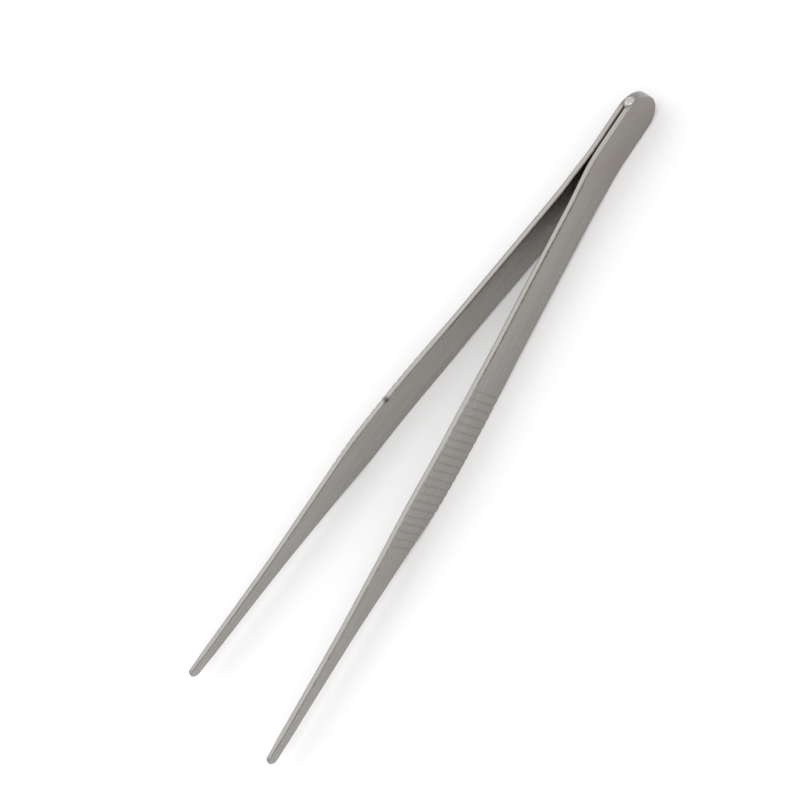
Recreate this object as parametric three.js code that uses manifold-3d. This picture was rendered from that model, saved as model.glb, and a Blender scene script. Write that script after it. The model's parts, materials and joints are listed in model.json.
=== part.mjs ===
// Aquascaping tweezers: two formed strips of stainless steel, laid face to face at the head and
// welded there. Each arm is its own spring: it spreads from the head, bows in again at the grip,
// and tapers to a slim rounded tip with a serrated inner face.
//
// Millimetres. X runs from the head to the tips, Y is the way the arms open, and Z is up along the
// width of the strips, so the tweezers lie on their side edges. The origin is at the middle of the
// length and of the opening, on the surface that the widest edges rest on.
//
// An arm bends along its whole shank. Its bending is gathered at one pivot, a third of the way from
// the head to the grip, so each arm is a fixed root and a blade that turns about that pivot.

import * as THREE from 'three';
import { mergeVertices } from 'three/addons/utils/BufferGeometryUtils.js';
import Module from 'manifold-3d';

// Strip: its length before forming, its thickness, and how its width changes along it, [place, width].
// The head and the grip are equally wide, so both touch the surface that the tool lies on.
const STRIP_LENGTH = 271.5;
const THICKNESS = 2.2;
const FULL_WIDTH = 16.9;
const SHANK_WIDTH = 15.1;
const WIDTHS = [
  [0, FULL_WIDTH], [29, FULL_WIDTH], [46, SHANK_WIDTH], [95, SHANK_WIDTH], [130, FULL_WIDTH],
  [153, FULL_WIDTH], [187, 12.2], [218, 7.8], [254, 5.4], [STRIP_LENGTH, 4.6],
];

// The strip's edges are rounded all along, and the outer ones more around the head.
const CORNER_RADIUS = 0.35;
const HEAD_CORNER_RADIUS = 1;
const HEAD_CORNER_FADE = { from: 6, to: 15 };
const CORNER_SEGMENTS = 2;

// Rounded ends: the length of each elliptic rounding along the strip, and the angle that is left off
// at the very end, which makes a narrow flat there. The tip is also thinned towards its end.
const HEAD_ROUND = 9;
const HEAD_END_ANGLE = 6;
const TIP_ROUND = 2.5;
const TIP_END_ANGLE = 20;
const TIP_THINNING = 0.5;
const END_STEPS = 8;

// Forming: each bend has a start, an end and the degrees that it turns the arm away from the middle.
const BENDS = [
  { from: 21, to: 35, turn: 6.9 },
  { from: 35, to: 81, turn: 0.6 },
  { from: 120, to: 174, turn: -3.7 },
];
const FORMING_STEP = 0.5;
const LAP_GAP = 0.3;
const STATION_PITCH = 3;

// Flexing: the effective pivot of a shank that is held at the lap and pushed at the grip.
const LAP_LENGTH = 22;
const GRIP_CENTRE = 150;
const PIVOT_PLACE = LAP_LENGTH + (GRIP_CENTRE - LAP_LENGTH) / 3;
const PIVOT_GAP = 0.3;

// Finger ribs across the outer face, and serrations across the inner face of the jaw.
const RIBS = { count: 21, first: 115.8, pitch: 3.1, depth: 0.3 };
const SERRATIONS = { count: 20, first: 247.5, pitch: 1.1, depth: 0.2 };
const CUTTER_OVERHANG = 2;
const SHORTEST_EDGE = 0.005;

// Weld: a bead around the head end in a rebate of both arms, and two nuggets inside the lap.
const BEAD_REACH = 8;
const BEAD_DEPTH = 1.5;
const BEAD_WIDTH = 2.3;
const BEAD_STEPS = 14;
const NUGGET_RADIUS = 2;
const NUGGET_THICKNESS = 1.3;
const NUGGET_PLACES = { front: 18, rear: 11.5 };
const NUGGET_SIDES = 24;
const FIT_GAP = 0.3;

const STEEL = { color: 0x9d9a94, roughness: 0.38, metalness: 1 };
const WELD_STEEL = { color: 0xc4c3bf, roughness: 0.22, metalness: 1 };

const manifold = await Module();
manifold.setup();

// A smooth curve through [place, value] stations that never overshoots them.
function profile(stations) {
  const secant = (i) => (stations[i + 1][1] - stations[i][1]) / (stations[i + 1][0] - stations[i][0]);
  const last = stations.length - 1;
  const slopes = stations.map((station, i) => {
    if (i === 0 || i === last) {
      return secant(Math.min(i, last - 1));
    }
    const before = secant(i - 1);
    const after = secant(i);
    return before * after <= 0 ? 0 : (2 * before * after) / (before + after);
  });
  return (place) => {
    const i = Math.max(0, Math.min(last - 1, stations.findIndex((station) => station[0] > place) - 1));
    const [start, low] = stations[i];
    const [end, high] = stations[i + 1];
    const span = end - start;
    const t = (place - start) / span;
    const rise = t * t * (3 - 2 * t);
    const bow = t * (1 - t) * (slopes[i] * (1 - t) - slopes[i + 1] * t);
    return low + (high - low) * rise + span * bow;
  };
}

// How much of its full width is left in a rounded end, at a distance from the end.
function endRounding(distance, length) {
  return distance >= length ? 1 : Math.sqrt(1 - ((length - distance) / length) ** 2);
}

const widthAt = profile(WIDTHS);

function halfWidth(place) {
  const head = endRounding(place, HEAD_ROUND);
  const tip = endRounding(STRIP_LENGTH - place, TIP_ROUND);
  return (widthAt(place) / 2) * head * tip;
}

function thickness(place) {
  const inTip = Math.max(0, (TIP_ROUND - (STRIP_LENGTH - place)) / TIP_ROUND);
  return THICKNESS * (1 - TIP_THINNING * inTip * inTip);
}

// How much larger than usual the rounding of an outer edge is.
function outerCornerScale(place) {
  const faded = THREE.MathUtils.smoothstep(place, HEAD_CORNER_FADE.from, HEAD_CORNER_FADE.to);
  return THREE.MathUtils.lerp(HEAD_CORNER_RADIUS / CORNER_RADIUS, 1, faded);
}

// The angle of the inner face to the middle plane, in radians.
function slope(place) {
  const turns = BENDS.map((bend) => bend.turn * THREE.MathUtils.smoothstep(place, bend.from, bend.to));
  return THREE.MathUtils.degToRad(turns.reduce((sum, turn) => sum + turn, 0));
}

// Where the inner face of the +Y arm runs once the flat strip is formed.
function innerFace(place) {
  const steps = Math.max(1, Math.ceil(place / FORMING_STEP));
  const step = place / steps;
  let x = 0;
  let y = LAP_GAP / 2;
  for (let i = 0; i < steps; i += 1) {
    const angle = slope((i + 0.5) * step);
    x += Math.cos(angle) * step;
    y += Math.sin(angle) * step;
  }
  return { x, y, angle: slope(place) };
}

// The length over all once the strip is formed, and the move that brings the model to its origin.
const TIP_FLAT = TIP_ROUND * (1 - Math.cos(THREE.MathUtils.degToRad(TIP_END_ANGLE)));
const LENGTH = innerFace(STRIP_LENGTH - TIP_FLAT).x;
const SHIFT = new THREE.Vector3(-LENGTH / 2, 0, FULL_WIDTH / 2);

// A place on an arm: along the strip, off its inner face, and across its width.
function onArm(side, place, depth, across) {
  const { x, y, angle } = innerFace(place);
  const outwards = new THREE.Vector2(-Math.sin(angle), Math.cos(angle)).multiplyScalar(depth);
  return new THREE.Vector3(x + outwards.x, side * (y + outwards.y), across).add(SHIFT);
}

// Section of the strip, a rounded rectangle with its width along X and its thickness along Y.
function section(width, height) {
  const shape = new THREE.Shape();
  const right = width / 2 - CORNER_RADIUS;
  const top = height / 2 - CORNER_RADIUS;
  shape.absarc(right, top, CORNER_RADIUS, 0, Math.PI / 2);
  shape.absarc(-right, top, CORNER_RADIUS, Math.PI / 2, Math.PI);
  shape.absarc(-right, -top, CORNER_RADIUS, Math.PI, Math.PI * 1.5);
  shape.absarc(right, -top, CORNER_RADIUS, Math.PI * 1.5, Math.PI * 2);
  return shape;
}

// Places along a rounded end, measured from the end and closer together towards it.
function endPlaces(length, endAngle) {
  return Array.from({ length: END_STEPS }, (_, i) => {
    const angle = endAngle + ((90 - endAngle) * i) / END_STEPS;
    return length * (1 - Math.cos(THREE.MathUtils.degToRad(angle)));
  });
}

// Even places along a stretch of the strip, both ends included.
function spread(from, to) {
  const count = Math.ceil((to - from) / STATION_PITCH);
  return Array.from({ length: count + 1 }, (_, i) => from + ((to - from) * i) / count);
}

const ROOT_STATIONS = [
  ...endPlaces(HEAD_ROUND, HEAD_END_ANGLE),
  ...spread(HEAD_ROUND, PIVOT_PLACE - PIVOT_GAP / 2),
];
const BLADE_STATIONS = [
  ...spread(PIVOT_PLACE + PIVOT_GAP / 2, STRIP_LENGTH - TIP_ROUND),
  ...endPlaces(TIP_ROUND, TIP_END_ANGLE).map((at) => STRIP_LENGTH - at).reverse(),
];

// A length of formed strip: a plain bar whose every cross-section is moved to its station.
function formedStrip(side, stations) {
  const steps = stations.length - 1;
  const bar = new THREE.ExtrudeGeometry(section(FULL_WIDTH, THICKNESS), {
    steps,
    depth: steps,
    bevelEnabled: false,
    curveSegments: CORNER_SEGMENTS,
  });
  const points = bar.attributes.position;
  for (let i = 0; i < points.count; i += 1) {
    const place = stations[Math.round(points.getZ(i))];
    const onOuterFace = points.getY(i) > 0;
    const scale = onOuterFace ? outerCornerScale(place) : 1;
    const inset = (FULL_WIDTH / 2 - Math.abs(points.getX(i))) * scale;
    const drop = (THICKNESS / 2 - Math.abs(points.getY(i))) * scale;
    const across = -side * Math.sign(points.getX(i)) * Math.max(0, halfWidth(place) - inset);
    const offMiddle = Math.sign(points.getY(i)) * (thickness(place) / 2 - drop);
    const moved = onArm(side, place, THICKNESS / 2 + offMiddle, across);
    points.setXYZ(i, moved.x, moved.y, moved.z);
  }
  return bar;
}

function toSolid(geometry) {
  const bare = geometry.clone();
  bare.deleteAttribute('normal');
  bare.deleteAttribute('uv');
  const merged = mergeVertices(bare);
  return new manifold.Manifold(new manifold.Mesh({
    numProp: 3,
    vertProperties: new Float32Array(merged.attributes.position.array),
    triVerts: new Uint32Array(merged.index.array),
  }));
}

// A cut piece, without the sliver edges that its cuts leave.
function toGeometry(solid) {
  const mesh = solid.asOriginal().simplify(SHORTEST_EDGE).getMesh();
  const geometry = new THREE.BufferGeometry();
  geometry.setAttribute('position', new THREE.BufferAttribute(mesh.vertProperties, 3));
  geometry.setIndex(new THREE.BufferAttribute(mesh.triVerts, 1));
  geometry.computeVertexNormals();
  return geometry;
}

function cut(geometry, cutters) {
  const cutterSolids = cutters.map(toSolid);
  return toGeometry(cutterSolids.reduce((left, cutter) => left.subtract(cutter), toSolid(geometry)));
}

// A row of V grooves across a face: each is the edge of a square bar laid on the face.
function grooves(side, row, onOuterFace) {
  const barSide = row.depth * Math.SQRT2;
  return Array.from({ length: row.count }, (_, i) => {
    const place = row.first + i * row.pitch;
    const depth = onOuterFace ? THICKNESS : 0;
    const bar = new THREE.BoxGeometry(barSide, barSide, FULL_WIDTH + 2 * CUTTER_OVERHANG);
    bar.rotateZ(Math.PI / 4 + side * slope(place));
    const at = onArm(side, place, depth, 0);
    return bar.translate(at.x, at.y, at.z);
  });
}

function blade(side) {
  return cut(formedStrip(side, BLADE_STATIONS), [
    ...grooves(side, RIBS, true),
    ...grooves(side, SERRATIONS, false),
  ]);
}

// Points of the head outline, set in from the edge and carried back along the arm, from -Z to +Z.
function headOutline(inset, reach) {
  const along = HEAD_ROUND - inset;
  const across = FULL_WIDTH / 2 - inset;
  const start = Math.acos((HEAD_ROUND - reach) / along);
  return Array.from({ length: BEAD_STEPS + 1 }, (_, i) => {
    const angle = -start + (2 * start * i) / BEAD_STEPS;
    return new THREE.Vector2(HEAD_ROUND - along * Math.cos(angle), across * Math.sin(angle));
  });
}

// A horseshoe band along the head outline, centred on the middle plane.
function horseshoe(outerInset, innerInset, reach, width) {
  const outer = headOutline(outerInset, reach);
  const inner = headOutline(innerInset, reach).reverse();
  const shape = new THREE.Shape([...outer, ...inner]);
  const band = new THREE.ExtrudeGeometry(shape, { depth: width, bevelEnabled: false });
  return band.rotateX(Math.PI / 2).translate(SHIFT.x, width / 2, SHIFT.z);
}

function nugget(place, radius, height) {
  const disc = new THREE.CylinderGeometry(radius, radius, height, NUGGET_SIDES);
  return disc.translate(SHIFT.x + place, 0, SHIFT.z);
}

// The fixed end of an arm, with room for the bead along its edge and for half of each nugget.
function root(side) {
  const rebate = horseshoe(-FIT_GAP, BEAD_DEPTH + FIT_GAP, BEAD_REACH + FIT_GAP, BEAD_WIDTH + 2 * FIT_GAP);
  const pockets = Object.values(NUGGET_PLACES).map(
    (place) => nugget(place, NUGGET_RADIUS + FIT_GAP, NUGGET_THICKNESS + 2 * FIT_GAP),
  );
  return cut(formedStrip(side, ROOT_STATIONS), [rebate, ...pockets]);
}

function piece(name, geometry, finish) {
  const mesh = new THREE.Mesh(geometry, new THREE.MeshStandardMaterial(finish));
  mesh.name = name;
  return mesh;
}

const tweezers = new THREE.Group();
tweezers.add(
  piece('thumb_arm_root', root(1), STEEL),
  piece('thumb_arm', blade(1), STEEL),
  piece('finger_arm_root', root(-1), STEEL),
  piece('finger_arm', blade(-1), STEEL),
  piece('head_weld', horseshoe(0, BEAD_DEPTH, BEAD_REACH, BEAD_WIDTH), WELD_STEEL),
  piece('spot_weld_front', nugget(NUGGET_PLACES.front, NUGGET_RADIUS, NUGGET_THICKNESS), WELD_STEEL),
  piece('spot_weld_rear', nugget(NUGGET_PLACES.rear, NUGGET_RADIUS, NUGGET_THICKNESS), WELD_STEEL),
);

export default tweezers;
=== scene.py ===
"""Aquascaping tweezers: the looks of the tool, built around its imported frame.

Each arm is modelled as the strip that it really is: a flat blank is drawn out from the head to the
tip, its edges are rounded, its ribs and serrations are pressed in, and it is then formed along its
line. One continuous arm stands for the two solids that carry its motion.
"""

import json
import logging
import math
from bisect import bisect_right
from collections.abc import Callable, Sequence
from dataclasses import dataclass, field
from enum import Enum

import bmesh
import bpy
from mathutils import Matrix, Vector
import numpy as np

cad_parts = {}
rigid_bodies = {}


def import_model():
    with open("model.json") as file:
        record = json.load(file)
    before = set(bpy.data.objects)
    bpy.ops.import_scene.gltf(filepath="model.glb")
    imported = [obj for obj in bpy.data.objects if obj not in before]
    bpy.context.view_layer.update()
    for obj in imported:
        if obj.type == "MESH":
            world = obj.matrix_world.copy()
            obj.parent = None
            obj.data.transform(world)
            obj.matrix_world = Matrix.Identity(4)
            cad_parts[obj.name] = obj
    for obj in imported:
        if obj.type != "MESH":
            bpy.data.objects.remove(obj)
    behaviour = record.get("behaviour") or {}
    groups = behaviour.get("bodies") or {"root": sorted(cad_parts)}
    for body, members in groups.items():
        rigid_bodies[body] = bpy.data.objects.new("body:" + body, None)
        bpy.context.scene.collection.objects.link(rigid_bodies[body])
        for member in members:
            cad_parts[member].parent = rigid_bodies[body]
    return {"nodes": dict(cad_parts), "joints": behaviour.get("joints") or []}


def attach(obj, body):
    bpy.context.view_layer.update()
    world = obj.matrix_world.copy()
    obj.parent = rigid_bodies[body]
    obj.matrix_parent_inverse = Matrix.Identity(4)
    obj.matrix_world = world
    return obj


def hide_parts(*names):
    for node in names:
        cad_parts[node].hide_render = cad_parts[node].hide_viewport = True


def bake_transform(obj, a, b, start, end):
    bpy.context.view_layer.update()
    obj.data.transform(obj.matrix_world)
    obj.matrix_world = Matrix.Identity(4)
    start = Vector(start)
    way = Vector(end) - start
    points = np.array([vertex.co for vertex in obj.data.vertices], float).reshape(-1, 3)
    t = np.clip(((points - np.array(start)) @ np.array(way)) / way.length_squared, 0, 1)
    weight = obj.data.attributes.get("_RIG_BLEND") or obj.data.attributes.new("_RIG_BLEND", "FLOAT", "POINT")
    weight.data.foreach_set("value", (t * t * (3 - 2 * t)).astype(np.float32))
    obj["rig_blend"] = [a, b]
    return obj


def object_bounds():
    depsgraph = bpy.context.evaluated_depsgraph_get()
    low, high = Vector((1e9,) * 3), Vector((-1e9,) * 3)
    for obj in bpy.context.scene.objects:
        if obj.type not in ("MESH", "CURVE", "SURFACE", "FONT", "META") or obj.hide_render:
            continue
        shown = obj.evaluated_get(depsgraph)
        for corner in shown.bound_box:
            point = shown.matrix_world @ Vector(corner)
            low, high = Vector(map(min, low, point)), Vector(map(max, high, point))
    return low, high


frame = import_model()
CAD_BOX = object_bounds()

LOG = logging.getLogger("tweezers")
MM = 0.001
SAME_PLACE = 0.0005 * MM
FLAT_PLACE = "flat_place"
EDGE_REACH = "edge_reach"

Point = tuple[float, float, float]
Colour = tuple[float, float, float]
Reach = tuple[float, float]
Stations = Sequence[tuple[float, float]]


# --------------------------------------------------------------------------- shader maths


@dataclass(frozen=True)
class Number:
    """A number in a shader, which can be worked with as Python numbers are.

    Args:
        tree: the shader that the number belongs to.
        socket: the output that gives the number.
    """

    tree: "ShaderTree"
    socket: bpy.types.NodeSocket

    def _math(self, operation: str, first: object, second: object) -> "Number":
        """Adds a Math node on two values and returns its result."""
        made = self.tree.node("ShaderNodeMath", {"operation": operation}, {0: first, 1: second})
        return Number(self.tree, made.outputs[0])

    def __add__(self, other: "Number | float") -> "Number":
        """self + other."""
        return self._math("ADD", self, other)

    def __radd__(self, other: float) -> "Number":
        """other + self."""
        return self._math("ADD", other, self)

    def __sub__(self, other: "Number | float") -> "Number":
        """self - other."""
        return self._math("SUBTRACT", self, other)

    def __rsub__(self, other: float) -> "Number":
        """other - self."""
        return self._math("SUBTRACT", other, self)

    def __mul__(self, other: "Number | float") -> "Number":
        """self * other."""
        return self._math("MULTIPLY", self, other)

    def __rmul__(self, other: float) -> "Number":
        """other * self."""
        return self._math("MULTIPLY", other, self)

    def __abs__(self) -> "Number":
        """The number without its sign."""
        return self._math("ABSOLUTE", self, 0.0)


class ShaderTree:
    """A material's nodes, each added by one method."""

    def __init__(self, name: str) -> None:
        """Makes an empty material of that name with its output node."""
        self.material = bpy.data.materials.new(name)
        self.material.use_nodes = True
        self.nodes = self.material.node_tree.nodes
        self.links = self.material.node_tree.links
        self.nodes.clear()
        self.output = self.nodes.new("ShaderNodeOutputMaterial")

    def node(
        self,
        kind: str,
        settings: dict[str, object] | None = None,
        inputs: dict[str | int, object] | None = None,
    ) -> bpy.types.Node:
        """Adds a node.

        Args:
            kind: Blender's name of the node's type.
            settings: the node's own properties.
            inputs: what each socket gets, a value, a socket or a Number.

        Returns:
            The new node.
        """
        made = self.nodes.new(kind)
        for key, value in (settings or {}).items():
            setattr(made, key, value)
        for key, value in (inputs or {}).items():
            source = value.socket if isinstance(value, Number) else value
            if isinstance(source, bpy.types.NodeSocket):
                self.links.new(source, made.inputs[key])
            else:
                made.inputs[key].default_value = source
        return made

    def noise(self, vector: object, scale: Point, shift: float = 0.0, detail: float = 2.0) -> Number:
        """Noise stretched by a scale along each axis, from about 0.3 to 0.7."""
        settings = {"Vector": vector, "Scale": scale, "Location": (shift, shift, shift)}
        stretched = self.node("ShaderNodeMapping", {}, settings)
        inputs = {"Vector": stretched.outputs[0], "Scale": 1.0, "Detail": detail}
        return Number(self, self.node("ShaderNodeTexNoise", {}, inputs).outputs["Fac"])

    def mix(self, factor: object, first: object, second: object) -> bpy.types.NodeSocket:
        """A colour between two colours, by a factor that is held between 0 and 1."""
        made = self.node("ShaderNodeMix", {"data_type": "RGBA"}, {0: factor, 6: first, 7: second})
        return made.outputs[2]

    def fade(self, value: object, near: float, far: float) -> Number:
        """1 where a value is at most near, 0 where it is at least far, and a smooth fall between."""
        inputs = {"Value": value, "From Min": near, "From Max": far, "To Min": 1.0, "To Max": 0.0}
        made = self.node("ShaderNodeMapRange", {"interpolation_type": "SMOOTHSTEP"}, inputs)
        return Number(self, made.outputs["Result"])

    def spot(self, vector: object, centre: Point, radius: float) -> Number:
        """A soft round mark: 1 at its centre and 0 from its radius outwards."""
        away = self.node("ShaderNodeVectorMath", {"operation": "DISTANCE"}, {0: vector, 1: centre})
        return self.fade(away.outputs["Value"], 0.0, radius)

    def attribute(self, name: str, output: str) -> bpy.types.NodeSocket:
        """An output of the node that reads a piece's own attribute."""
        return self.node("ShaderNodeAttribute", {"attribute_name": name}).outputs[output]

    def surface(self, strength: float, depth: float, height: object, **sockets: object) -> None:
        """Ends the tree in a bumped Principled shader.

        Args:
            strength: how much of the bump shows.
            depth: its depth, in metres.
            height: the bump's height from 0 to 1.
            **sockets: the shader's other sockets, with _ for each space.
        """
        inputs = {"Strength": strength, "Distance": depth, "Height": height}
        bump = self.node("ShaderNodeBump", {}, inputs)
        named = {key.replace("_", " "): value for key, value in sockets.items()}
        shader = self.node("ShaderNodeBsdfPrincipled", {}, {**named, "Normal": bump.outputs[0]})
        self.links.new(shader.outputs[0], self.output.inputs[0])


# --------------------------------------------------------------------------- finishes


@dataclass(frozen=True)
class Mark:
    """A small dark mark on an arm.

    Args:
        place: where it is on the flat strip.
        radius: how far it reaches.
        strength: how much of it shows, up to 1.
    """

    place: Point
    radius: float
    strength: float


@dataclass(frozen=True)
class SatinSteel:
    """Satin stainless steel with a fine grain along the arm and edges rubbed smoother, with painted shade
    along its corners and in its grooves.

    Args:
        name: the material's name.
        thickness: the strip's thickness, in metres.
        groove_depth: depth of the ribs, at which the painted groove shade is full, in metres.
        shift: moves the grain, so that two arms don't look alike.
        bright: colour of the grain's crests.
        dull: colour of the grain's hollows.
        warm: tint of the handled patches.
        heated: a darker, warmer colour towards the head.
        rubbed: colour of the rubbed edges.
        stain: colour of the marks.
        line: colour of the painted shade along the rounded corners, a dark line that stands in for their
            shadow and dark reflection.
        pressed: colour of the painted shade in the grooves.
        roughness: middle roughness.
        grain_spread: how far the grain, the patches and the scuffs change the roughness.
        grain_contrast: how strongly the grain changes the colour.
        grain_depth: height of the grain, in metres.
        grain_bump: how much of the grain shows in the light.
        streak_share: how much of the grain is streaks, the rest being hairlines.
        patch_level: noise level above which a patch shows.
        patch_contrast: how sharply a patch begins.
        heat_share: how much of the head tint shows at the head.
        rub_share: how much of the rubbed colour shows at an edge.
        rub_polish: how much smoother a rubbed edge is.
        rub_width: how far the rubbing reaches from the edges, in metres.
        line_share: how much of the painted corner shade shows all over, and how much more by the scuffs.
        corner_line: how far from a corner its painted shade is full, and how far it reaches.
        heat_fade: where along the strip the head tint is full, and where it ends.
        line_fade: where along the strip the painted corner shade begins to fade, and where it is weakest.
        groove_share: how much of the painted groove shade shows at a groove's floor.
        groove_edge: how far from the strip's edge the painted groove shade starts, and where it is full.
        hairlines: scale of the finest grain, along the strip, through it and across it.
        streaks: scale of the long streaks.
        patches: scale of the handled patches.
        scuffs: scale of the small scuffs.
        marks: dark marks.
    """

    name: str
    thickness: float
    groove_depth: float
    shift: float = 0.0
    bright: Colour = (0.385, 0.373, 0.352)
    dull: Colour = (0.285, 0.275, 0.26)
    warm: Colour = (0.325, 0.295, 0.268)
    heated: Colour = (0.235, 0.2, 0.185)
    rubbed: Colour = (0.36, 0.352, 0.336)
    stain: Colour = (0.05, 0.03, 0.024)
    # painted shade: the dark line along the rounded corners stands in for their shadow and dark reflection
    line: Colour = (0.1, 0.074, 0.058)
    # painted shade: darker colour in the grooves of the ribs, for the shade that falls in them
    pressed: Colour = (0.15, 0.142, 0.132)
    roughness: float = 0.3
    grain_spread: tuple[float, float, float] = (0.3, 0.16, 0.12)
    grain_contrast: float = 2.6
    grain_depth: float = 0.004 * MM
    grain_bump: float = 0.3
    streak_share: float = 0.4
    patch_level: float = 0.42
    patch_contrast: float = 2.2
    heat_share: float = 0.4
    rub_share: float = 0.6
    rub_polish: float = 0.08
    rub_width: float = 0.7 * MM
    line_share: tuple[float, float] = (0.45, 0.7)
    corner_line: Reach = (0.22 * MM, 0.62 * MM)
    heat_fade: Reach = (6.0 * MM, 60.0 * MM)
    line_fade: Reach = (95.0 * MM, 125.0 * MM)
    groove_share: float = 0.22
    groove_edge: Reach = (0.5 * MM, 0.9 * MM)
    hairlines: Point = (30.0, 5200.0, 5200.0)
    streaks: Point = (9.0, 900.0, 900.0)
    patches: Point = (60.0, 150.0, 150.0)
    scuffs: Point = (500.0, 200.0, 300.0)
    marks: tuple[Mark, ...] = ()

    def material(self) -> bpy.types.Material:
        """Returns the finish as a material."""
        tree = ShaderTree(self.name)
        place = tree.attribute(FLAT_PLACE, "Vector")
        reach = Number(tree, tree.attribute(EDGE_REACH, "Fac"))
        parts = tree.node("ShaderNodeSeparateXYZ", {}, {0: place}).outputs
        along, deep, across = (Number(tree, part) for part in parts)
        from_edge = reach - abs(across)
        from_face = self.thickness / 2.0 - abs(deep - self.thickness / 2.0)
        rub = tree.fade(from_edge, 0.0, self.rub_width)
        hairlines = tree.noise(place, self.hairlines, self.shift)
        streaks = tree.noise(place, self.streaks, self.shift, detail=3.0)
        patches = tree.noise(place, self.patches, self.shift, detail=4.0)
        scuffs = tree.noise(place, self.scuffs, self.shift, detail=3.0)
        grain = hairlines * (1.0 - self.streak_share) + streaks * self.streak_share
        handled = self.handled(tree, grain, patches, along)
        # painted shade in the grooves, darker towards their floor
        pressed = self.pressed_in(tree, from_face, from_edge)
        rubbed = tree.mix(rub * self.rub_share, handled, (*self.rubbed, 1.0))
        groove_shaded = tree.mix(pressed * self.groove_share, rubbed, (*self.pressed, 1.0))
        # painted shade along the rounded corners: a dark line for their shadow and dark reflection
        corner = tree.fade(from_edge + from_face, *self.corner_line)
        everywhere, by_scuffs = self.line_share
        corner_shade = corner * (tree.fade(along, *self.line_fade) * everywhere + scuffs * by_scuffs)
        colour = self.marked(tree, place, tree.mix(corner_shade, groove_shaded, (*self.line, 1.0)))
        by_grain, by_patches, by_worn = self.grain_spread
        worn = (patches - 0.5) * by_patches + (scuffs - 0.5) * by_worn + self.roughness
        roughness = (grain - 0.5) * by_grain + worn - rub * self.rub_polish
        looks = {"Base_Color": colour, "Metallic": 1.0, "Roughness": roughness}
        tree.surface(self.grain_bump, self.grain_depth, grain, **looks)
        return tree.material

    def handled(
        self, tree: ShaderTree, grain: Number, patches: Number, along: Number
    ) -> bpy.types.NodeSocket:
        """The grained metal, with its handled patches and a darker, warmer tint towards the head.

        Args:
            tree: the shader.
            grain: the grain, around 0.5.
            patches: the patches, around 0.5.
            along: place along the strip.

        Returns:
            The colour.
        """
        crests = (grain - 0.5) * self.grain_contrast + 0.5
        metal = tree.mix(crests, (*self.dull, 1.0), (*self.bright, 1.0))
        warm_patches = (patches - self.patch_level) * self.patch_contrast
        warmed = tree.mix(warm_patches, metal, (*self.warm, 1.0))
        toward_head = tree.fade(along, *self.heat_fade) * self.heat_share
        return tree.mix(toward_head, warmed, (*self.heated, 1.0))

    def pressed_in(self, tree: ShaderTree, from_face: Number, from_edge: Number) -> Number:
        """How deep a point lies in a groove, from 0 on the face to 1 at the floor, which sets the painted
        groove shade.
        """
        below = 1.0 - tree.fade(from_face, 0.0, self.groove_depth)
        inside = 1.0 - tree.fade(from_edge, *self.groove_edge)
        return below * inside

    def marked(
        self, tree: ShaderTree, place: bpy.types.NodeSocket, colour: bpy.types.NodeSocket
    ) -> bpy.types.NodeSocket:
        """A colour with the dark marks on it.

        Args:
            tree: the shader.
            place: place on the flat strip.
            colour: the colour under the marks.

        Returns:
            The colour.
        """
        for mark in self.marks:
            shown = tree.spot(place, mark.place, mark.radius) * mark.strength
            colour = tree.mix(shown, colour, (*self.stain, 1.0))
        return colour


@dataclass(frozen=True)
class PolishedWeld:
    """Weld metal that was fused, ground round and polished, with faint ripples and a painted highlight on
    each puddle.

    Args:
        name: the material's name.
        bright: colour of the polished metal.
        dull: colour between the ripples.
        roughness: middle roughness.
        ripple_depth: height of the ripples, in metres.
        ripple_bump: how much of the ripples shows in the light.
        ripple_scale: how fine the ripples are.
        ripple_spread: how far the ripples change the roughness.
        cloud_scale: how fine the colour's clouds are.
        cloud_contrast: how strongly the clouds change the colour.
        mirror: colour of the puddles, a painted highlight brighter than the metal around it.
        puddles: where the puddles are.
        puddle_radius: how far a puddle reaches, in metres.
        puddle_fill: how soon a puddle is all painted highlight, more than 1 giving it a broad middle.
        puddle_polish: how much smoother a puddle is.
    """

    name: str = "polished_weld"
    bright: Colour = (0.42, 0.41, 0.39)
    dull: Colour = (0.28, 0.27, 0.255)
    roughness: float = 0.26
    ripple_depth: float = 0.03 * MM
    ripple_bump: float = 0.6
    ripple_scale: Point = (1100.0, 1100.0, 1100.0)
    ripple_spread: float = 0.2
    cloud_scale: Point = (420.0, 420.0, 420.0)
    cloud_contrast: float = 2.0
    # painted highlight: the puddles' bright spot is painted into their colour; their lower roughness is real
    # polish
    mirror: Colour = (0.64, 0.63, 0.61)
    puddles: tuple[Point, ...] = ()
    puddle_radius: float = 2.4 * MM
    puddle_fill: float = 1.8
    puddle_polish: float = 0.1

    def material(self) -> bpy.types.Material:
        """Returns the finish as a material."""
        tree = ShaderTree(self.name)
        place = tree.node("ShaderNodeTexCoord").outputs["Object"]
        ripples = tree.noise(place, self.ripple_scale)
        cloud = tree.noise(place, self.cloud_scale)
        clouds = (cloud - 0.5) * self.cloud_contrast + 0.5
        colour = tree.mix(clouds, (*self.dull, 1.0), (*self.bright, 1.0))
        roughness = (ripples - 0.5) * self.ripple_spread + self.roughness
        for centre in self.puddles:
            puddle = tree.spot(place, centre, self.puddle_radius)
            # painted highlight on each puddle; the lower roughness below is its real polish
            colour = tree.mix(puddle * self.puddle_fill, colour, (*self.mirror, 1.0))
            roughness = roughness - puddle * self.puddle_polish
        looks = {"Base_Color": colour, "Metallic": 1.0, "Roughness": roughness}
        tree.surface(self.ripple_bump, self.ripple_depth, ripples, **looks)
        return tree.material


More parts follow.
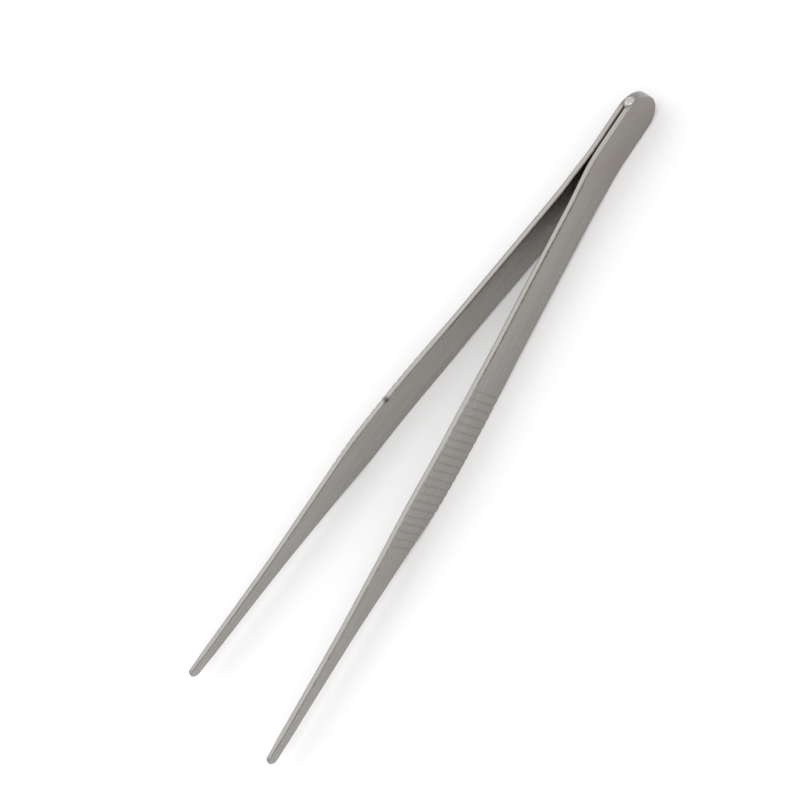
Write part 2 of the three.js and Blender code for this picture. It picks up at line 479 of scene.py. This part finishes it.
@dataclass(frozen=True)
class PaleBoard:
    """The plain pale board that the tool lies on, with a faint tooth.

    Args:
        name: the material's name.
        colour: its colour.
        roughness: its roughness.
        tooth: depth of its texture, in metres.
        tooth_bump: how much of the texture shows in the light.
        tooth_scale: how fine the texture is.
    """

    name: str = "pale_board"
    colour: Colour = (0.9, 0.9, 0.9)
    roughness: float = 0.7
    tooth: float = 0.02 * MM
    tooth_bump: float = 0.2
    tooth_scale: Point = (900.0, 900.0, 900.0)

    def material(self) -> bpy.types.Material:
        """Returns the finish as a material."""
        tree = ShaderTree(self.name)
        grain = tree.noise(tree.node("ShaderNodeTexCoord").outputs["Object"], self.tooth_scale)
        looks = {"Base_Color": (*self.colour, 1.0), "Roughness": self.roughness}
        tree.surface(self.tooth_bump, self.tooth, grain, **looks)
        return tree.material


FINGER_MARKS = (Mark(place=(138.6 * MM, 0.5 * MM, 8.4 * MM), radius=2.0 * MM, strength=0.9),)


def dress(piece: bpy.types.Object, material: bpy.types.Material) -> None:
    """Gives a piece one material all over.

    Args:
        piece: the object.
        material: its finish.
    """
    piece.data.materials.clear()
    piece.data.materials.append(material)


# --------------------------------------------------------------------------- modelling by hand


class Bench:
    """A piece on the bench, at the origin and open for work in edit mode."""

    def __init__(self, piece: bpy.types.Object) -> None:
        """Opens a piece for editing, with nothing else selected."""
        self.piece = piece
        pick(piece)
        bpy.ops.object.mode_set(mode="EDIT")

    @classmethod
    def empty(cls, name: str) -> "Bench":
        """Lays a new piece with no faces on the bench."""
        bpy.ops.object.select_all(action="DESELECT")
        bpy.ops.object.add(type="MESH", location=(0.0, 0.0, 0.0))
        bpy.context.object.name = bpy.context.object.data.name = name
        return cls(bpy.context.object)

    def select(self, wanted: Callable[[Vector], bool]) -> bool:
        """Selects the vertices at wanted places, with the edges and faces between them.

        Args:
            wanted: tells from a place whether its vertex is wanted.

        Returns:
            Whether any vertex is selected.
        """
        bpy.ops.mesh.select_all(action="DESELECT")
        bpy.context.tool_settings.mesh_select_mode = (True, False, False)
        shape = bmesh.from_edit_mesh(self.piece.data)
        chosen = [vertex for vertex in shape.verts if wanted(vertex.co)]
        for vertex in chosen:
            vertex.select = True
        shape.select_flush_mode()
        bmesh.update_edit_mesh(self.piece.data)
        return bool(chosen)

    def close(self) -> bpy.types.Object:
        """Points all faces outwards, leaves edit mode and returns the piece."""
        bpy.ops.mesh.select_all(action="SELECT")
        bpy.ops.mesh.remove_doubles(threshold=SAME_PLACE)
        bpy.ops.mesh.normals_make_consistent(inside=False)
        bpy.ops.object.mode_set(mode="OBJECT")
        return self.piece


def pick(piece: bpy.types.Object) -> None:
    """Selects one piece alone and makes it the active one."""
    bpy.ops.object.select_all(action="DESELECT")
    piece.select_set(True)
    bpy.context.view_layer.objects.active = piece


def apply_modifier(piece: bpy.types.Object, kind: str, **settings: object) -> None:
    """Adds a modifier to a piece and applies it.

    Args:
        piece: the object.
        kind: the modifier's type.
        **settings: its properties.
    """
    made = piece.modifiers.new(kind.lower(), kind)
    for key, value in settings.items():
        setattr(made, key, value)
    pick(piece)
    bpy.ops.object.modifier_apply(modifier=made.name)


# --------------------------------------------------------------------------- the strip's plan


def smoothstep(value: float, low: float, high: float) -> float:
    """0 below low, 1 above high, and a smooth rise between them."""
    share = min(1.0, max(0.0, (value - low) / (high - low)))
    return share * share * (3.0 - 2.0 * share)


def spread(start: float, end: float, pitch: float) -> list[float]:
    """Even places from start to end, both included, no further apart than the pitch."""
    count = math.ceil((end - start) / pitch)
    return [start + (end - start) * i / count for i in range(count + 1)]


class Profile:
    """A smooth curve through stations that never overshoots them."""

    def __init__(self, stations: Stations) -> None:
        """Works out the slope at each station, each a place and a value."""
        self.places = [place for place, _ in stations]
        self.values = [value for _, value in stations]
        pairs = list(zip(stations, stations[1:]))
        self.secants = [(high[1] - low[1]) / (high[0] - low[0]) for low, high in pairs]
        inner = [self._between(a, b) for a, b in zip(self.secants, self.secants[1:])]
        self.slopes = [self.secants[0], *inner, self.secants[-1]]

    @staticmethod
    def _between(before: float, after: float) -> float:
        """The slope at a station between two secants."""
        return 0.0 if before * after <= 0 else 2.0 * before * after / (before + after)

    def at(self, place: float) -> float:
        """The curve's value at a place."""
        i = max(0, min(len(self.places) - 2, bisect_right(self.places, place) - 1))
        span = self.places[i + 1] - self.places[i]
        t = (place - self.places[i]) / span
        rise = t * t * (3.0 - 2.0 * t)
        bow = t * (1.0 - t) * (self.slopes[i] * (1.0 - t) - self.slopes[i + 1] * t)
        return self.values[i] + (self.values[i + 1] - self.values[i]) * rise + span * bow


@dataclass(frozen=True)
class RoundedEnd:
    """An elliptic rounded end of the strip.

    Args:
        length: how much of the strip it takes.
        end_angle: degrees left off at the very end, which leave a narrow flat.
        steps: how many sections it has.
    """

    length: float
    end_angle: float
    steps: int

    def share(self, distance: float) -> float:
        """How much of the full width is left at a distance from the end."""
        inside = max(0.0, 1.0 - distance / self.length)
        return math.sqrt(1.0 - inside * inside)

    def places(self) -> list[float]:
        """Distances from the end of its sections, closer together towards it."""
        turns = [self.end_angle + (90.0 - self.end_angle) * i / self.steps for i in range(self.steps)]
        return [self.length * (1.0 - math.cos(math.radians(turn))) for turn in turns]


@dataclass(frozen=True)
class GrooveRow:
    """A row of grooves across a face of the strip.

    Args:
        count: how many grooves.
        first: place of the first one along the strip.
        pitch: distance between two.
        depth: depth at the middle of a groove.
        half_width: half of a groove's width at the face.
        shape: sections across half a groove, each a share of half_width and of depth.
    """

    count: int
    first: float
    pitch: float
    depth: float
    half_width: float
    shape: Stations

    def cuts(self) -> list[tuple[float, float]]:
        """Every section of every groove, each a place along the strip and the depth there."""
        half = [(share * self.half_width, deep * self.depth) for share, deep in self.shape]
        one = [(-share, deep) for share, deep in half] + [(0.0, self.depth)] + half
        middles = [self.first + i * self.pitch for i in range(self.count)]
        return sorted((middle + share, deep) for middle in middles for share, deep in one)


@dataclass(frozen=True)
class Bend:
    """A stretch of the strip that turns it away from the middle plane.

    Args:
        start: where the bend begins along the strip.
        end: where it ends.
        turn: how far it turns, in degrees.
    """

    start: float
    end: float
    turn: float


@dataclass(frozen=True)
class StripPlan:
    """Sizes of one arm's strip, flat and formed, in metres.

    Args:
        length: from the head end to the tip, along the strip.
        thickness: the strip's thickness.
        full_width: width of the head and of the grip.
        shank_width: width of the shank between them.
        tip_width: width at the tip.
        head_end: where the head's full width ends.
        shank: where the shank's width begins and ends.
        grip: where the grip's full width begins and ends.
        taper: width stations between the grip and the tip.
        lap_gap: the gap between the two strips in the lap.
        corner: radius of the long edges.
        head_corner: radius of the outer edges around the head.
        head_blend: where the head's radius begins to fade, and where it ends.
        tip_corner: radius of the edges around the tip.
        tip_blend: where the tip's radius begins, and where it is full.
        head: the head's rounded end.
        tip: the tip's rounded end.
        bends: the turns of the strip, from the head on.
        ribs: grooves across the outer face of the grip.
        serrations: fine grooves across the inner face of the tip.
        pitch: distance between the sections of plain stretches.
        rounding: decimals, in metres, that tell two sections apart.
    """

    length: float = 271.5 * MM
    thickness: float = 2.2 * MM
    full_width: float = 16.9 * MM
    shank_width: float = 15.1 * MM
    tip_width: float = 4.6 * MM
    head_end: float = 29.0 * MM
    shank: Reach = (46.0 * MM, 95.0 * MM)
    grip: Reach = (130.0 * MM, 153.0 * MM)
    taper: Stations = ((187.0 * MM, 12.2 * MM), (218.0 * MM, 7.8 * MM), (254.0 * MM, 5.4 * MM))
    lap_gap: float = 0.3 * MM
    corner: float = 0.35 * MM
    head_corner: float = 0.75 * MM
    head_blend: Reach = (24.0 * MM, 44.0 * MM)
    tip_corner: float = 0.75 * MM
    tip_blend: Reach = (260.0 * MM, 265.0 * MM)
    head: RoundedEnd = RoundedEnd(length=9.0 * MM, end_angle=6.0, steps=16)
    tip: RoundedEnd = RoundedEnd(length=2.5 * MM, end_angle=12.0, steps=12)
    bends: tuple[Bend, ...] = (
        Bend(start=21.0 * MM, end=35.0 * MM, turn=6.9),
        Bend(start=35.0 * MM, end=81.0 * MM, turn=0.6),
        Bend(start=120.0 * MM, end=174.0 * MM, turn=-3.7),
    )
    ribs: GrooveRow = GrooveRow(
        count=21,
        first=115.8 * MM,
        pitch=3.1 * MM,
        depth=0.3 * MM,
        half_width=0.75 * MM,
        shape=((0.35, 0.8), (0.7, 0.3), (1.0, 0.0)),
    )
    serrations: GrooveRow = GrooveRow(
        count=20,
        first=247.5 * MM,
        pitch=1.1 * MM,
        depth=0.12 * MM,
        half_width=0.42 * MM,
        shape=((1.0, 0.0),),
    )
    pitch: float = 2.2 * MM
    rounding: int = 7

    def widths(self) -> Profile:
        """The strip's width along its length, before its ends are rounded."""
        head = [(place, self.full_width) for place in (0.0, self.head_end)]
        shank = [(place, self.shank_width) for place in self.shank]
        grip = [(place, self.full_width) for place in self.grip]
        return Profile([*head, *shank, *grip, *self.taper, (self.length, self.tip_width)])

    def half_width(self, place: float) -> float:
        """Half of the strip's width at a place along it."""
        ends = self.head.share(place) * self.tip.share(self.length - place)
        return self.widths().at(place) / 2.0 * ends

    def slope(self, place: float) -> float:
        """The angle of the inner face to the middle plane, in radians."""
        return math.radians(sum(b.turn * smoothstep(place, b.start, b.end) for b in self.bends))

    def line(self, step: float = 0.5 * MM) -> list[Vector]:
        """The inner face's line once the strip is formed, from the head end at the origin."""
        points = [Vector((0.0, self.lap_gap / 2.0, 0.0))]
        count = round(self.length / step)
        for i in range(count):
            turn = self.slope((i + 0.5) * self.length / count)
            stride = Vector((math.cos(turn), math.sin(turn), 0.0)) * (self.length / count)
            points.append(points[-1] + stride)
        return points

    def stations(self) -> list[float]:
        """Every place along the strip that has a section of its own."""
        tip_start = self.length - self.tip.length
        free = spread(self.head.length, tip_start, self.pitch)
        cuts = [place for row in (self.ribs, self.serrations) for place, _ in row.cuts()]
        apart = self.ribs.half_width
        clear = [place for place in free if all(abs(place - cut) > apart for cut in cuts)]
        ends = [*self.head.places(), *(self.length - at for at in self.tip.places())]
        return sorted({round(place, self.rounding) for place in [*ends, *clear, *cuts, tip_start]})


# --------------------------------------------------------------------------- pieces


class Side(Enum):
    """The two arms, by the sign of their side of the middle plane."""

    THUMB = 1
    FINGER = -1

    @property
    def node(self) -> str:
        """The name that the arm's CAD nodes start with."""
        return f"{self.name.lower()}_arm"

    @property
    def blade_body(self) -> str:
        """The body that carries the arm's blade."""
        return f"{self.name.lower()}_blade"


def frame_start() -> Vector:
    """The middle of the head end, where the strips begin, in the frame."""
    lowest, highest = CAD_BOX
    return Vector((lowest.x - StripPlan().stations()[0], 0.0, (lowest.z + highest.z) / 2.0))


@dataclass
class SpringArm:
    """One continuous sprung arm, from its lapped head to its serrated tip.

    Args:
        side: which arm it is.
        plan: the strip's sizes.
        flex_reach: how far the bending spreads to each side of the arm's pivot.
        touch: how close two places on the strip are taken for one.
        bevel_steps: faces across a rounded edge.
        crease: degrees between two faces from which their edge stays sharp.
    """

    side: Side
    plan: StripPlan = field(default_factory=StripPlan)
    flex_reach: float = 34.0 * MM
    touch: float = 0.01 * MM
    bevel_steps: int = 6
    crease: float = 30.0

    def draw_blank(self, bench: Bench) -> None:
        """Draws the flat strip out from its head end, one section after another."""
        middle = self.plan.thickness / 2.0
        stations = self.plan.stations()
        place, half = stations[0], self.plan.half_width(stations[0])
        size = (1.0, self.plan.thickness, 2.0 * half)
        across_x = (0.0, math.pi / 2.0, 0.0)
        bpy.ops.mesh.primitive_plane_add(size=1.0, location=(place, middle, 0.0), rotation=across_x)
        bpy.ops.transform.resize(value=size, center_override=(place, middle, 0.0))
        for following in stations[1:]:
            wider = self.plan.half_width(following) / half
            step = {"value": (following - place, 0.0, 0.0)}
            bpy.ops.mesh.extrude_region_move(TRANSFORM_OT_translate=step)
            about = (following, middle, 0.0)
            bpy.ops.transform.resize(value=(1.0, 1.0, wider), center_override=about)
            place, half = following, half * wider
        self.join_end_faces(bench)
        bench.close()

    def join_end_faces(self, bench: Bench) -> None:
        """Joins each broad face within a rounded end into one face, so that its rim rounds evenly."""
        plan, near = self.plan, self.touch
        ends = ((0.0, plan.head.length), (plan.length - plan.tip.length, plan.length))
        for face in (0.0, plan.thickness):
            for low, high in ends:
                if bench.select(lambda p: low - near < p.x < high + near and abs(p.y - face) < near):
                    bpy.ops.mesh.dissolve_faces()

    def edge_radius(self, first: Vector, second: Vector) -> float:
        """The radius that an edge of the blank is rounded to, 0 where it stays sharp.

        Args:
            first: one end of the edge on the flat strip.
            second: its other end.

        Returns:
            The radius in metres.
        """
        plan = self.plan
        face_edge = abs(first.y - second.y) < plan.thickness / 4.0
        along = abs(first.x - second.x) > self.touch and first.z * second.z > 0.0
        at_end = not plan.head.length < first.x < plan.length - plan.tip.length
        across = abs(first.x - second.x) < self.touch and at_end and self.outermost(first.x)
        if not (face_edge and (along or across)):
            return 0.0
        middle = (first.x + second.x) / 2.0
        at_tip = smoothstep(middle, *plan.tip_blend)
        radius = plan.corner + (plan.tip_corner - plan.corner) * at_tip
        if first.y > plan.thickness / 2.0:
            at_head = 1.0 - smoothstep(middle, *plan.head_blend)
            radius += (plan.head_corner - plan.corner) * at_head
        return radius

    def outermost(self, place: float) -> bool:
        """Whether a place is the first or the last section of the strip."""
        stations = self.plan.stations()
        return min(abs(place - stations[0]), abs(place - stations[-1])) < self.touch

    def round_edges(self, piece: bpy.types.Object) -> None:
        """Rounds the strip's edges, most of all the outer ones around the head."""
        weights = piece.data.attributes.new("bevel_weight_edge", "FLOAT", "EDGE")
        points = piece.data.vertices
        for edge in piece.data.edges:
            radius = self.edge_radius(*(points[i].co for i in edge.vertices))
            weights.data[edge.index].value = radius / self.plan.head_corner
        apply_modifier(
            piece,
            "BEVEL",
            width=self.plan.head_corner,
            segments=self.bevel_steps,
            limit_method="WEIGHT",
            use_clamp_overlap=False,
        )

    def press_grooves(self, piece: bpy.types.Object) -> None:
        """Presses the ribs into the outer face and the serrations into the inner face."""
        bench = Bench(piece)
        for place, deep in self.plan.ribs.cuts():
            floor = self.plan.thickness - deep
            if deep and bench.select(lambda p: abs(p.x - place) < self.touch and p.y > floor):
                bpy.ops.transform.resize(value=(1.0, 0.0, 1.0), center_override=(place, floor, 0.0))
        for place, deep in self.plan.serrations.cuts():
            if deep and bench.select(lambda p: abs(p.x - place) < self.touch and p.y < deep):
                bpy.ops.transform.resize(value=(1.0, 0.0, 1.0), center_override=(place, deep, 0.0))
        bench.close()

    def note_places(self, piece: bpy.types.Object) -> None:
        """Notes where each point is on the flat strip, and how far off the strip's edge is there."""
        layers = piece.data.attributes
        layers.new(FLAT_PLACE, "FLOAT_VECTOR", "POINT")
        layers.new(EDGE_REACH, "FLOAT", "POINT")
        for vertex in piece.data.vertices:
            layers[FLAT_PLACE].data[vertex.index].vector = vertex.co
            layers[EDGE_REACH].data[vertex.index].value = self.plan.half_width(vertex.co.x)

    def form(self, piece: bpy.types.Object) -> None:
        """Bends the flat strip along its line."""
        line = bpy.data.curves.new("forming_line", "CURVE")
        line.dimensions = "3D"
        line.twist_mode = "Z_UP"
        spline = line.splines.new("POLY")
        points = [frame_start() + point for point in self.plan.line()]
        spline.points.add(len(points) - 1)
        for target, point in zip(spline.points, points):
            target.co = (*point, 1.0)
        former = bpy.data.objects.new("former", line)
        bpy.context.scene.collection.objects.link(former)
        apply_modifier(piece, "CURVE", object=former, deform_axis="POS_X")
        bpy.data.objects.remove(former)

    def build(self) -> bpy.types.Object:
        """Models the arm on the +Y side.

        Returns:
            The formed arm.
        """
        bench = Bench.empty(f"{self.side.node}_strip")
        self.draw_blank(bench)
        self.round_edges(bench.piece)
        self.press_grooves(bench.piece)
        self.note_places(bench.piece)
        self.form(bench.piece)
        return bench.piece

    def mirrored(self, other: bpy.types.Object) -> bpy.types.Object:
        """Copies the formed arm of the other side across the middle plane.

        Args:
            other: the formed arm.

        Returns:
            The copy, with its own mesh.
        """
        piece = other.copy()
        piece.data = other.data.copy()
        piece.name = piece.data.name = f"{self.side.node}_strip"
        bpy.context.scene.collection.objects.link(piece)
        bench = Bench(piece)
        bpy.ops.mesh.select_all(action="SELECT")
        bpy.ops.transform.resize(value=(1.0, -1.0, 1.0), center_override=(0.0, 0.0, 0.0))
        return bench.close()

    def finish(self, piece: bpy.types.Object, steel: bpy.types.Material) -> None:
        """Smooths, dresses and hangs the arm on the head and on its blade's body.

        Args:
            piece: the formed arm.
            steel: its finish.
        """
        pick(piece)
        bpy.ops.object.shade_smooth_by_angle(angle=math.radians(self.crease))
        apply_modifier(piece, "WEIGHTED_NORMAL", keep_sharp=True, weight=100)
        dress(piece, steel)
        joint = next(joint for joint in frame["joints"] if joint["child"] == self.side.blade_body)
        pivot = Vector(joint["pos_m"])
        reach = Vector((self.flex_reach, 0.0, 0.0))
        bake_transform(piece, joint["parent"], joint["child"], start=pivot - reach, end=pivot + reach)
        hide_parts(f"{self.side.node}_root", self.side.node)
        LOG.info("%s: %d faces", piece.name, len(piece.data.polygons))


@dataclass
class HeadWeld:
    """The fused bead around the head end, ground to the outline, with a polished puddle at each end.

    Args:
        plan: the strip's sizes.
        reach: how far back from the head end it runs.
        width: its width across both arms.
        puddle_width: its width at the puddles.
        depth: how deep it sits in the edge.
        proud: how far it stands out of the edge.
        puddle_proud: how far the puddles stand out.
        puddle_share: how much of the bead is puddle, from each of its ends.
        end_share: how much of a puddle its rounded end takes.
        end_left: how much of the section is left at the very end.
        steps: sections along it.
        sides: faces around it.
        crease: degrees between two faces from which their edge stays sharp.
    """

    plan: StripPlan = field(default_factory=StripPlan)
    reach: float = 8.0 * MM
    width: float = 2.0 * MM
    puddle_width: float = 4.0 * MM
    depth: float = 1.5 * MM
    proud: float = 0.05 * MM
    puddle_proud: float = 0.35 * MM
    puddle_share: float = 0.23
    end_share: float = 0.3
    end_left: float = 0.02
    steps: int = 72
    sides: int = 24
    crease: float = 60.0

    def outline(self, turn: float) -> Vector:
        """A point of the head outline, at a turn from the middle of the end."""
        x = self.plan.head.length * (1.0 - math.cos(turn))
        return Vector((x, 0.0, self.plan.full_width / 2.0 * math.sin(turn)))

    def turns(self) -> list[float]:
        """The turns of the bead's sections, from one end of the bead to the other."""
        last = math.acos(1.0 - self.reach / self.plan.head.length)
        return [-last + 2.0 * last * i / self.steps for i in range(self.steps + 1)]

    def swell(self, share: float) -> tuple[float, float]:
        """How much of a puddle there is, and how much of the section is left in the rounded ends.

        Args:
            share: place along the bead, from 0 to 1.

        Returns:
            The puddle's share and the section's share.
        """
        away = min(share, 1.0 - share) / self.puddle_share
        puddle = math.sin(math.pi * min(1.0, away)) ** 2
        closing = min(1.0, away / self.end_share + self.end_left)
        return puddle, math.sqrt(1.0 - (1.0 - closing) ** 2)

    def puddles(self) -> tuple[Point, ...]:
        """The middle of each puddle, in the frame."""
        turn = self.turns()[round(self.steps * (1.0 - self.puddle_share / 2.0))]
        return tuple((*(frame_start() + self.outline(side * turn)),) for side in (-1.0, 1.0))

    def sections(self) -> list[tuple[Vector, float, float, float]]:
        """Every section of the bead: its middle, the turn that it faces, its width and its depth."""
        points = [self.outline(turn) for turn in self.turns()]
        made = []
        for i, point in enumerate(points):
            along = points[min(i + 1, len(points) - 1)] - points[max(i - 1, 0)]
            facing = math.atan2(along.x, along.z)
            puddle, left = self.swell(i / self.steps)
            proud = self.proud + (self.puddle_proud - self.proud) * puddle
            width = (self.width + (self.puddle_width - self.width) * puddle) * left
            inwards = Vector((math.cos(facing), 0.0, -math.sin(facing)))
            middle = point + inwards * (self.depth / 2.0 - proud * left)
            made.append((middle, facing, width, self.depth * left))
        return made

    def build(self) -> bpy.types.Object:
        """Draws the bead's section along the head outline.

        Returns:
            The bead.
        """
        bench = Bench.empty("head_weld_bead")
        middle, facing, width, depth = self.sections()[0]
        origin = (0.0, 0.0, 0.0)
        bpy.ops.mesh.primitive_circle_add(
            vertices=self.sides, radius=0.5, fill_type="NGON", location=origin
        )
        bpy.ops.transform.resize(value=(depth, width, 1.0), center_override=origin)
        bpy.ops.transform.rotate(value=-facing, orient_axis="Y", center_override=origin)
        bpy.ops.transform.translate(value=middle)
        for following, turned, wide, deep in self.sections()[1:]:
            bpy.ops.mesh.extrude_region_move(TRANSFORM_OT_translate={"value": following - middle})
            bpy.ops.transform.rotate(value=facing, orient_axis="Y", center_override=following)
            bpy.ops.transform.resize(value=(deep / depth, wide / width, 1.0), center_override=following)
            bpy.ops.transform.rotate(value=-turned, orient_axis="Y", center_override=following)
            middle, facing, width, depth = following, turned, wide, deep
        bpy.ops.mesh.select_all(action="SELECT")
        bpy.ops.transform.translate(value=frame_start())
        return bench.close()

    def finish(self, piece: bpy.types.Object, polished: bpy.types.Material) -> None:
        """Smooths and dresses the bead, and lets it ride on the head.

        Args:
            piece: the bead.
            polished: its finish.
        """
        pick(piece)
        bpy.ops.object.shade_smooth_by_angle(angle=math.radians(self.crease))
        dress(piece, polished)
        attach(piece, "head")
        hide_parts("head_weld")
        LOG.info("%s: %d faces", piece.name, len(piece.data.polygons))


@dataclass
class SpotWelds:
    """The nuggets inside the lap, which keep their CAD shape."""

    nodes: tuple[str, ...] = ("spot_weld_front", "spot_weld_rear")

    def finish(self, polished: bpy.types.Material) -> None:
        """Dresses the nuggets."""
        for name in self.nodes:
            dress(frame["nodes"][name], polished)
            LOG.info("%s: kept from the frame", name)


# --------------------------------------------------------------------------- studio


@dataclass(frozen=True)
class Softbox:
    """A soft area light that faces the tool.

    Args:
        name: its name.
        place: where it stands.
        size: its width and height.
        power: in watts.
    """

    name: str
    place: Point
    size: tuple[float, float]
    power: float

    def build(self) -> None:
        """Hangs the light."""
        light = bpy.data.lights.new(self.name, "AREA")
        light.shape = "RECTANGLE"
        light.size, light.size_y = self.size
        light.energy = self.power
        lamp = bpy.data.objects.new(self.name, light)
        lamp.location = self.place
        lamp.rotation_euler = (-Vector(self.place)).to_track_quat("-Z", "Y").to_euler()
        bpy.context.scene.collection.objects.link(lamp)


@dataclass(frozen=True)
class Studio:
    """Floor, lights and camera around the tool.

    Args:
        azimuth: the camera's bearing, in degrees.
        elevation: its height above the horizon, in degrees.
        roll: its turn about its own axis, in degrees.
        distance: from the middle of the tool, in metres.
        aside: how far it is moved to its right and up, in metres.
        lens: its focal length, in millimetres.
        film: width of its film, in millimetres.
        near: distance from which it sees, in metres.
        room: brightness of the white room.
        floor_size: side of the square floor, in metres.
        lights: the soft lights.
    """

    azimuth: float = -160.01
    elevation: float = 55.064
    roll: float = 287.005
    distance: float = 587.21 * MM
    aside: tuple[float, float] = (-10.379 * MM, 7.323 * MM)
    lens: float = 74.765
    film: float = 36.0
    near: float = 10.0 * MM
    room: float = 0.85
    floor_size: float = 6.0
    lights: tuple[Softbox, ...] = (
        Softbox("key", (0.19, -0.66, 0.86), (1.1, 0.9), 2.0),
        Softbox("overhead", (-0.1, 0.5, 1.0), (1.2, 1.2), 4.5),
        Softbox("glint", (0.75, 0.1, 0.65), (0.09, 0.09), 0.35),
    )

    def camera(self) -> None:
        """Places the camera and makes it the scene's own."""
        azimuth, elevation, roll = (math.radians(a) for a in (self.azimuth, self.elevation, self.roll))
        back = Vector((
            math.sin(azimuth) * math.cos(elevation),
            -math.cos(azimuth) * math.cos(elevation),
            math.sin(elevation),
        ))
        level = Vector((math.cos(azimuth), math.sin(azimuth), 0.0))
        rise = back.cross(level)
        right = level * math.cos(roll) + rise * math.sin(roll)
        up = rise * math.cos(roll) - level * math.sin(roll)
        lowest, highest = CAD_BOX
        middle = (lowest + highest) / 2.0
        data = bpy.data.cameras.new("camera")
        data.lens = self.lens
        data.sensor_width = self.film
        data.clip_start = self.near
        camera = bpy.data.objects.new("camera", data)
        sideways, upwards = self.aside
        camera.location = middle + back * self.distance + right * sideways + up * upwards
        camera.rotation_euler = Matrix((right, up, back)).transposed().to_euler()
        bpy.context.scene.collection.objects.link(camera)
        bpy.context.scene.camera = camera

    def light(self) -> None:
        """Lights the tool softly from above, in a dimmer room."""
        world = bpy.data.worlds.new("room")
        world.use_nodes = True
        background = world.node_tree.nodes["Background"].inputs
        background["Strength"].default_value = self.room
        background["Color"].default_value = (1.0, 1.0, 1.0, 1.0)
        bpy.context.scene.world = world
        for softbox in self.lights:
            softbox.build()

    def floor(self) -> None:
        """Lays the pale board under the tool."""
        bpy.ops.object.select_all(action="DESELECT")
        bpy.ops.mesh.primitive_plane_add(size=self.floor_size, location=(0.0, 0.0, 0.0))
        board = bpy.context.object
        board.name = "board"
        dress(board, PaleBoard().material())


# --------------------------------------------------------------------------- assembly


def main() -> None:
    """Builds the studio and every piece of the tool, in order."""
    logging.basicConfig(level=logging.INFO, format="%(name)s %(message)s")
    bpy.context.scene.view_settings.view_transform = "Standard"
    studio = Studio()
    studio.camera()
    studio.light()
    studio.floor()
    weld = HeadWeld()
    polished = PolishedWeld(puddles=weld.puddles()).material()
    thumb, finger = SpringArm(Side.THUMB), SpringArm(Side.FINGER)
    thumb_piece = thumb.build()
    finger_piece = finger.mirrored(thumb_piece)
    sizes = {"thickness": thumb.plan.thickness, "groove_depth": thumb.plan.ribs.depth}
    thumb_steel = SatinSteel("thumb_arm_steel", **sizes)
    finger_steel = SatinSteel("finger_arm_steel", shift=3.7, marks=FINGER_MARKS, **sizes)
    thumb.finish(thumb_piece, thumb_steel.material())
    finger.finish(finger_piece, finger_steel.material())
    weld.finish(weld.build(), polished)
    SpotWelds().finish(polished)


if __name__ == "__main__":
    main()
